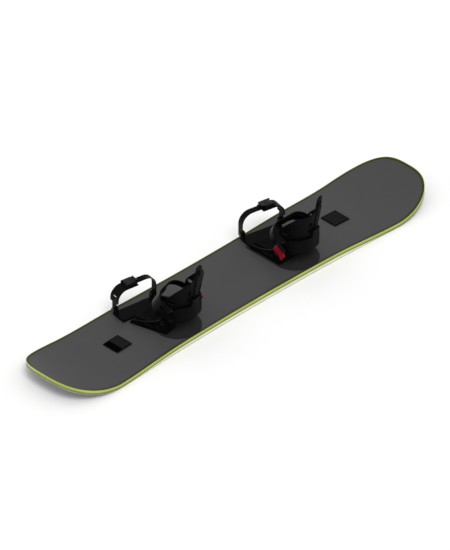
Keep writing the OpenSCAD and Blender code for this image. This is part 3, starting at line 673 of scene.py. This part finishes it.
@dataclass
class Board:
    """The board's outline and profile in millimetres, and the two lines that follow them: a dark line of
    painted shade round the deck's rim and a dull one along the band.
    """

    length: float = 1560.0
    waist: float = 267.0
    end_width: float = 302.0
    tip: float = 180.0
    shape: float = 3.0
    flat: float = 1146.0
    lift: float = 52.0
    thick: float = 24.0
    thick_run: float = 620.0
    band_height: float = 13.0
    edge_height: float = 2.0
    end_fullness: float = 0.72
    straight_steps: int = 40
    round_steps: int = 60
    # Inset and width of the dark line of painted shade round the deck's rim.
    rim_shade_inset: float = 4.2
    rim_shade_width: float = 7.2
    low_line_inset: float = 0.1
    low_line_depth: float = 10.4
    low_line_height: float = 5.2
    line_thick: float = 0.3

    def __post_init__(self) -> None:
        """Works out what follows from the sizes."""
        self.straight = self.length / 2 - self.tip
        self.contact = self.flat / 2
        self.thin = self.band_height + self.edge_height
        run = self.length / 2 - self.contact
        self.radius = (run * run + self.lift * self.lift) / (2 * self.lift)

    def thickness(self, x: float) -> float:
        """Finds the board's thickness.

        Args:
            x: The place along the board.

        Returns:
            The thickness there.
        """
        s = (abs(x) - self.thick_run / 2) / (self.contact - self.thick_run / 2)
        s = min(max(s, 0.0), 1.0)
        return self.thin + (self.thick - self.thin) * (1 + math.cos(math.pi * s)) / 2

    def height(self, x: float, depth: float) -> Vector:
        """Where a point under the deck lies once the ends are bent up.

        Args:
            x: Its place along the flat board.
            depth: How far it is below the deck.

        Returns:
            The point on the board's middle line.
        """
        up = self.thickness(x) - depth
        past = abs(x) - self.contact
        if past <= 0:
            return Vector((x, 0, up))
        reach = self.radius - up
        steepest = 0.99
        past = min(past, reach * steepest)
        return Vector((x, 0, self.radius - math.sqrt(reach * reach - past * past)))

    def outline(self, inset: float) -> list[tuple[float, float]]:
        """Walks round the board.

        Args:
            inset: How far the points are drawn in.

        Returns:
            X and Y of the points, all the way round.
        """
        half = (self.end_width - self.waist) / 2
        quarter: list[tuple[float, float]] = []
        for i in range(self.straight_steps):
            x = self.straight * i / self.straight_steps
            quarter.append((x, self.waist / 2 + half * (x / self.straight) ** 2 - inset))
        for i in range(self.round_steps + 1):
            a = math.radians(90 * i / self.round_steps)
            across = abs(math.cos(a)) ** (2 / self.shape)
            along = math.sin(a) ** (2 / (self.shape * self.end_fullness))
            x = self.straight + (self.tip - inset) * along
            quarter.append((x, (self.end_width / 2 - inset) * across))
        right = quarter + [(x, -y) for x, y in reversed(quarter[:-1])]
        left = [(-x, -y) for x, y in quarter[1:]] + [(-x, y) for x, y in reversed(quarter[1:-1])]
        return right + left

    def rim(self, inset: float, depth: float) -> list[Vector]:
        """Lays the outline on the board's deck or side.

        Args:
            inset: How far the points are drawn in.
            depth: How far they are below the deck.

        Returns:
            The points in metres.
        """
        points = []
        for x, y in self.outline(inset):
            p = self.height(x, depth)
            points.append(Vector((p.x, y, p.z)) * MM)
        return points

    def upward(self, x: float) -> Vector:
        """The deck's upward direction at x."""
        rise = self.height(x + 0.5, 0).z - self.height(x - 0.5, 0).z
        return Vector((-rise, 0, 1)).normalized()

    def dress(self, materials: Materials) -> None:
        """Adds the dark line of painted shade round the deck's rim, where the topsheet meets the band, and
        the dull one along the band's lower half.

        Args:
            materials: The finishes' materials.
        """
        deck = self.rim(self.rim_shade_inset, 0.0)
        leans = [self.upward(x) for x, _ in self.outline(self.rim_shade_inset)]
        side = self.rim(self.low_line_inset, self.low_line_depth)
        upright = [Vector((0, 0, 1))] * len(side)
        thick = self.line_thick * MM
        for piece in (ribbon("deck_rim_painted_shade", deck, leans, self.rim_shade_width * MM, thick),
                      ribbon("band_low_line", side, upright, thick, self.low_line_height * MM)):
            finish_piece(piece, "board", piece.name, materials)


@dataclass
class StompPad:
    """A square grip pad on the deck, with its dark rim and, on the left one, a smooth dark band of painted
    shade for the pad's shaded side.
    """

    side: str
    x: float
    has_painted_shade: bool
    width: float = 62.0
    tall: float = 3.5
    bed: float = 0.15
    rim_inset: float = 1.6
    rim_bend: float = 2.0
    rim_width: float = 2.6
    rim_height: float = 0.5
    rim_rise: float = 0.1
    corner_steps: int = 4
    # The band is painted shade: a dark plate on the pad's top that stands for its shaded side.
    shade_inset: float = 3.2
    shade_end: float = 24.0
    shade_sunk: float = 0.4
    shade_rise: float = 0.2

    def place(self, board: Board, x: float, y: float, z: float) -> Vector:
        """Carries a point of the pad's own drawing into the shared frame.

        Args:
            board: The board that the pad lies on.
            x: Its place along the board from the pad's middle.
            y: Its place across the board.
            z: Its height over the pad's underside.

        Returns:
            The point in metres.
        """
        slope = math.atan((board.thickness(self.x + 1) - board.thickness(self.x - 1)) / 2)
        up = board.thickness(self.x) + self.bed + x * math.sin(slope) + z * math.cos(slope)
        return Vector((self.x + x * math.cos(slope) - z * math.sin(slope), y, up)) * MM

    def dress(self, board: Board, materials: Materials) -> None:
        """Adds the raised dark rim, and the band of painted shade on the pad that has one.

        Args:
            board: The board that the pad lies on.
            materials: The finishes' materials.
        """
        pieces = [self._rim(board)]
        if self.has_painted_shade:
            pieces.append(self._painted_shade_plate(board))
        # The rim and the band of painted shade both take the dark pad_rim finish.
        for piece in pieces:
            finish_piece(piece, "board", "pad_rim", materials)

    def _rim(self, board: Board) -> bpy.types.Object:
        """Makes the square rim with its round corners, on the pad's top.

        Args:
            board: The board that the pad lies on.

        Returns:
            The rim.
        """
        middle = self.width / 2 - self.rim_inset - self.rim_bend
        path = []
        for corner, (across, along) in enumerate(((1, 1), (-1, 1), (-1, -1), (1, -1))):
            for step in range(self.corner_steps + 1):
                a = math.radians(90 * (corner + step / self.corner_steps))
                path.append(self.place(board, across * middle + self.rim_bend * math.cos(a),
                                       along * middle + self.rim_bend * math.sin(a),
                                       self.tall + self.rim_rise))
        upright = [Vector((0, 0, 1))] * len(path)
        return ribbon(f"{self.side}_pad_rim", path, upright, self.rim_width * MM, self.rim_height * MM)

    def _painted_shade_plate(self, board: Board) -> bpy.types.Object:
        """Makes the smooth dark plate over the pad's outer third on its -X side: painted shade for the
        pad's shaded side.

        Args:
            board: The board that the pad lies on.

        Returns:
            The plate.
        """
        x0, x1 = self.shade_inset - self.width / 2, self.shade_end - self.width / 2
        y1 = self.width / 2 - self.shade_inset
        verts = [self.place(board, x, y, z)
                 for z in (self.tall - self.shade_sunk, self.tall + self.shade_rise)
                 for x, y in ((x0, -y1), (x1, -y1), (x1, y1), (x0, y1))]
        faces = [(0, 3, 2, 1), (4, 5, 6, 7), (0, 1, 5, 4), (1, 2, 6, 5), (2, 3, 7, 6), (3, 0, 4, 7)]
        return solid(f"{self.side}_pad_painted_shade_plate", verts, faces, False)


@dataclass(frozen=True)
class Cushion:
    """A cushion with a flat back and a crowned front, its sewn channels and a row of stitches.

    Its place gives a point for u across and v along, both from -1 to 1, and a height from 0 to 1.
    """

    place: Place
    columns: int
    rows: int
    stitches: int
    channels: int = 3
    edge_height: float = 0.12
    crown_power: int = 5
    crown_round: float = 0.45
    channel_width: float = 0.045
    channel_depth: float = 0.42
    narrowing: float = 0.06
    shortening: float = 0.08
    seam_inset: float = 0.87
    seam_corner: int = 7
    seam_lift: float = 0.05
    stitch: tuple[float, float, float] = (1.6 * MM, 1.0 * MM, 1.6 * MM)

    def swell(self, u: float, v: float) -> tuple[float, float, float]:
        """Shapes the front.

        Args:
            u: Place across from -1 to 1.
            v: Place along from -1 to 1.

        Returns:
            The place across and along that the outline has there, and the front's height.
        """
        crown = ((1 - abs(u) ** self.crown_power) * (1 - abs(v) ** self.crown_power)) ** self.crown_round
        middles = [2 * (c + 1) / (self.channels + 1) - 1 for c in range(self.channels)]
        channel = max(math.exp(-((v - middle) / self.channel_width) ** 2) for middle in middles)
        high = self.edge_height + (1 - self.edge_height) * crown * (1 - self.channel_depth * channel)
        return u * (1 - self.narrowing * v ** 4), v * (1 - self.shortening * u ** 4), high

    def body(self, name: str) -> bpy.types.Object:
        """Makes the cushion.

        Args:
            name: The piece's name.

        Returns:
            The closed mesh.
        """
        columns, rows = self.columns, self.rows
        verts: list[Vector] = []
        for layer in range(2):
            for j in range(rows + 1):
                for i in range(columns + 1):
                    across, along, high = self.swell(2 * i / columns - 1, 2 * j / rows - 1)
                    verts.append(self.place(across, along, high if layer else 0.0))
        wide = columns + 1
        size = wide * (rows + 1)
        faces: list[tuple[int, ...]] = []
        for j in range(rows):
            for i in range(columns):
                k = j * wide + i
                faces.append((k, k + wide, k + wide + 1, k + 1))
                faces.append((size + k, size + k + 1, size + k + wide + 1, size + k + wide))
        rim = list(range(wide)) + [j * wide + columns for j in range(1, rows + 1)]
        rim += [rows * wide + i for i in range(columns - 1, -1, -1)]
        rim += [j * wide for j in range(rows - 1, 0, -1)]
        for a, b in zip(rim, rim[1:] + rim[:1]):
            faces.append((a, b, size + b, size + a))
        return solid(name, verts, faces)

    def seam(self, name: str) -> bpy.types.Object:
        """Makes the row of stitches inside the cushion's edge, evenly round a rounded oblong.

        Args:
            name: The piece's name.

        Returns:
            The stitches as one mesh.
        """
        places = []
        for i in range(self.stitches):
            side, share = divmod(4 * i / self.stitches, 1)
            u, v = 1.0, 2 * share - 1
            for _ in range(int(side)):
                u, v = -v, u
            pull = self.seam_inset / (abs(u) ** self.seam_corner + abs(v) ** self.seam_corner) ** (
                1 / self.seam_corner)
            across, along, high = self.swell(u * pull, v * pull)
            places.append(self.place(across, along, high + self.seam_lift))
        return scatter(name, places, self.stitch, 0.0)


@dataclass
class Binding:
    """One strap binding: where its foot stands and the soft and sewn parts it carries."""

    side: str
    x: float
    angle: float
    mirrored: bool
    deck: float = 24.0
    heel: float = 58.0
    pivot_z: float = 42.0
    shell_radius: float = 57.0
    shell_slope: float = 0.085
    shell_lean: float = 0.17
    shell_wall: float = 4.0
    hoop_top: float = 102.0
    highback_turn: float = 12.0
    pad_thickness: float = 6.0
    pad_low: float = 104.0
    pad_high: float = 174.0
    pad_half_turn: float = 34.0
    pad_gap: float = 0.15
    ankle_y: float = -72.0
    ankle_z: float = 58.0
    ankle_lean: float = 57.0
    ankle_half: float = 70.1
    ankle_rise: float = 80.0
    ankle_bend: float = 44.0
    ankle_low: float = 34.0
    ankle_end: float = 8.0
    ankle_middle: float = 2.0
    ankle_reach: float = 18.0
    ankle_thick: float = 5.0
    ankle_gap_out: float = 0.1
    ankle_gap_in: float = 0.2
    fill: float = 0.7
    bed_top: float = 17.0
    stud_rows: range = range(-26, 30, 9)
    stud_columns: range = range(-44, 45, 8)
    stud: tuple[float, float, float] = (4.0 * MM, 4.0 * MM, 1.2 * MM)

    def place(self, x: float, y: float, z: float) -> Vector:
        """Carries a point of the binding's own drawing into the shared frame.

        Args:
            x: Its place across the foot, with the outer side below 0.
            y: Its place along the foot, with the toes above 0.
            z: Its height over the deck.

        Returns:
            The point in metres.
        """
        a = math.radians(self.angle)
        px = -x if self.mirrored else x
        return Vector((self.x + px * math.cos(a) - y * math.sin(a),
                       px * math.sin(a) + y * math.cos(a), self.deck + z)) * MM

    def dress(self, materials: Materials) -> None:
        """Makes the pads, their seams and the studs of the foot bed.

        Args:
            materials: The finishes' materials.
        """
        self._highback_pad(materials)
        self._ankle_pad(materials)
        self._bed_studs(materials)

    def _highback_pad(self, materials: Materials) -> None:
        """Makes the cushion inside the highback's shell, and its stitches.

        Args:
            materials: The finishes' materials.
        """
        def place(u: float, v: float, high: float) -> Vector:
            """Finds a point on the shell's inner wall, raised towards the leg.

            Args:
                u: Place across from -1 to 1.
                v: Place along from -1 to 1.
                high: Height over the wall from 0 to 1.

            Returns:
                The point in metres.
            """
            z = (self.pad_low + self.pad_high) / 2 + v * (self.pad_high - self.pad_low) / 2
            r = self.shell_radius + self.shell_slope * (min(z, self.hoop_top) - self.pivot_z)
            r += self.shell_lean * max(z - self.hoop_top, 0.0) - self.shell_wall
            r -= self.pad_gap + high * (self.pad_thickness - 2 * self.pad_gap)
            a = math.radians(self.pad_half_turn * u - self.highback_turn)
            return self.place(r * math.sin(a), -self.heel - r * math.cos(a), z)

        cushion = Cushion(place, columns=36, rows=40, stitches=90)
        pad = cushion.body(f"{self.side}_highback_cushion")
        finish_piece(pad, f"{self.side}_highback", "pad_foam", materials)
        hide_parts(f"{self.side}_highback_pad")
        seam = cushion.seam(f"{self.side}_highback_stitches")
        finish_piece(seam, f"{self.side}_highback", "thread", materials)

    def _ankle_pad(self, materials: Materials) -> None:
        """Makes the cushion inside the closed ankle strap, bent over its arch, and its stitches.

        Args:
            materials: The finishes' materials.
        """
        lean = math.radians(self.ankle_lean)
        shoulder = self.ankle_rise - self.ankle_bend
        rise = shoulder - self.ankle_low
        curve = math.pi / 2 * self.ankle_bend
        run = rise + curve + self.ankle_half - self.ankle_bend + self.ankle_end
        stuffing = self.ankle_thick - self.ankle_gap_out - self.ankle_gap_in

        def inside(along: float, depth: float) -> tuple[float, float]:
            """Finds a point inside the arch, up its side, round its bend and along its top.

            Args:
                along: Way gone along the strap from the pad's low end.
                depth: How far the point is inside the strap's inner face.

            Returns:
                X across the foot and the height over the strap's foot.
            """
            if along <= rise:
                return depth - self.ankle_half, self.ankle_low + along
            if along >= rise + curve:
                return self.ankle_bend - self.ankle_half + along - rise - curve, self.ankle_rise - depth
            a = (along - rise) / self.ankle_bend
            r = self.ankle_bend - depth
            return self.ankle_bend - self.ankle_half - r * math.cos(a), shoulder + r * math.sin(a)

        def place(u: float, v: float, high: float) -> Vector:
            """Finds a point on the strap's inner face, raised towards the boot.

            Args:
                u: Place across the strap from -1 to 1.
                v: Place along the strap from -1 to 1.
                high: Height over the inner face from 0 to 1.

            Returns:
                The point in metres.
            """
            x, up = inside((v + 1) / 2 * run, self.ankle_gap_out + high * stuffing)
            across = self.ankle_middle + u * self.ankle_reach
            y = self.ankle_y + across * math.cos(lean) + up * math.sin(lean)
            z = self.ankle_z - across * math.sin(lean) + up * math.cos(lean)
            return self.place(x, y, z)

        cushion = Cushion(place, columns=30, rows=64, stitches=96)
        pad = cushion.body(f"{self.side}_ankle_cushion")
        finish_piece(pad, f"{self.side}_ankle_strap", "pad_foam", materials)
        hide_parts(f"{self.side}_ankle_pad")
        seam = cushion.seam(f"{self.side}_ankle_stitches")
        finish_piece(seam, f"{self.side}_ankle_strap", "thread", materials)

    def _bed_studs(self, materials: Materials) -> None:
        """Makes low round studs in rows on the foot bed, between its grooves."""
        places = [self.place(x, y, self.bed_top) for y in self.stud_rows for x in self.stud_columns]
        studs = scatter(f"{self.side}_bed_studs", places, self.stud, 0.0)
        finish_piece(studs, "board", "foot_foam", materials)


def paint(frame: dict, materials: Materials) -> None:
    """Gives every CAD node the material of its slot in the record.

    Args:
        materials: The finishes.
    """
    slots = {p["node"]: p["material_slot"] for p in frame["record"]["subparts"]}
    for name, node in frame["nodes"].items():
        node.data.materials.clear()
        node.data.materials.append(materials.get(slots[name]))
        LOG.info("node %s wears %s", name, slots[name])


def main() -> None:
    """Builds the scene in order."""
    logging.basicConfig(level=logging.INFO, format="%(message)s")
    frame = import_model()
    materials = Materials()
    Studio().build()
    paint(frame, materials)
    board = Board()
    board.dress(materials)
    # Only the left pad carries the dark band of painted shade.
    for pad in (StompPad("left", x=-466.0, has_painted_shade=True), StompPad("right", x=466.0, has_painted_shade=False)):
        pad.dress(board, materials)
    for binding in (Binding("left", x=-277.0, angle=15.0, mirrored=False),
                    Binding("right", x=240.0, angle=0.0, mirrored=True)):
        binding.dress(materials)


if __name__ == "__main__":
    main()
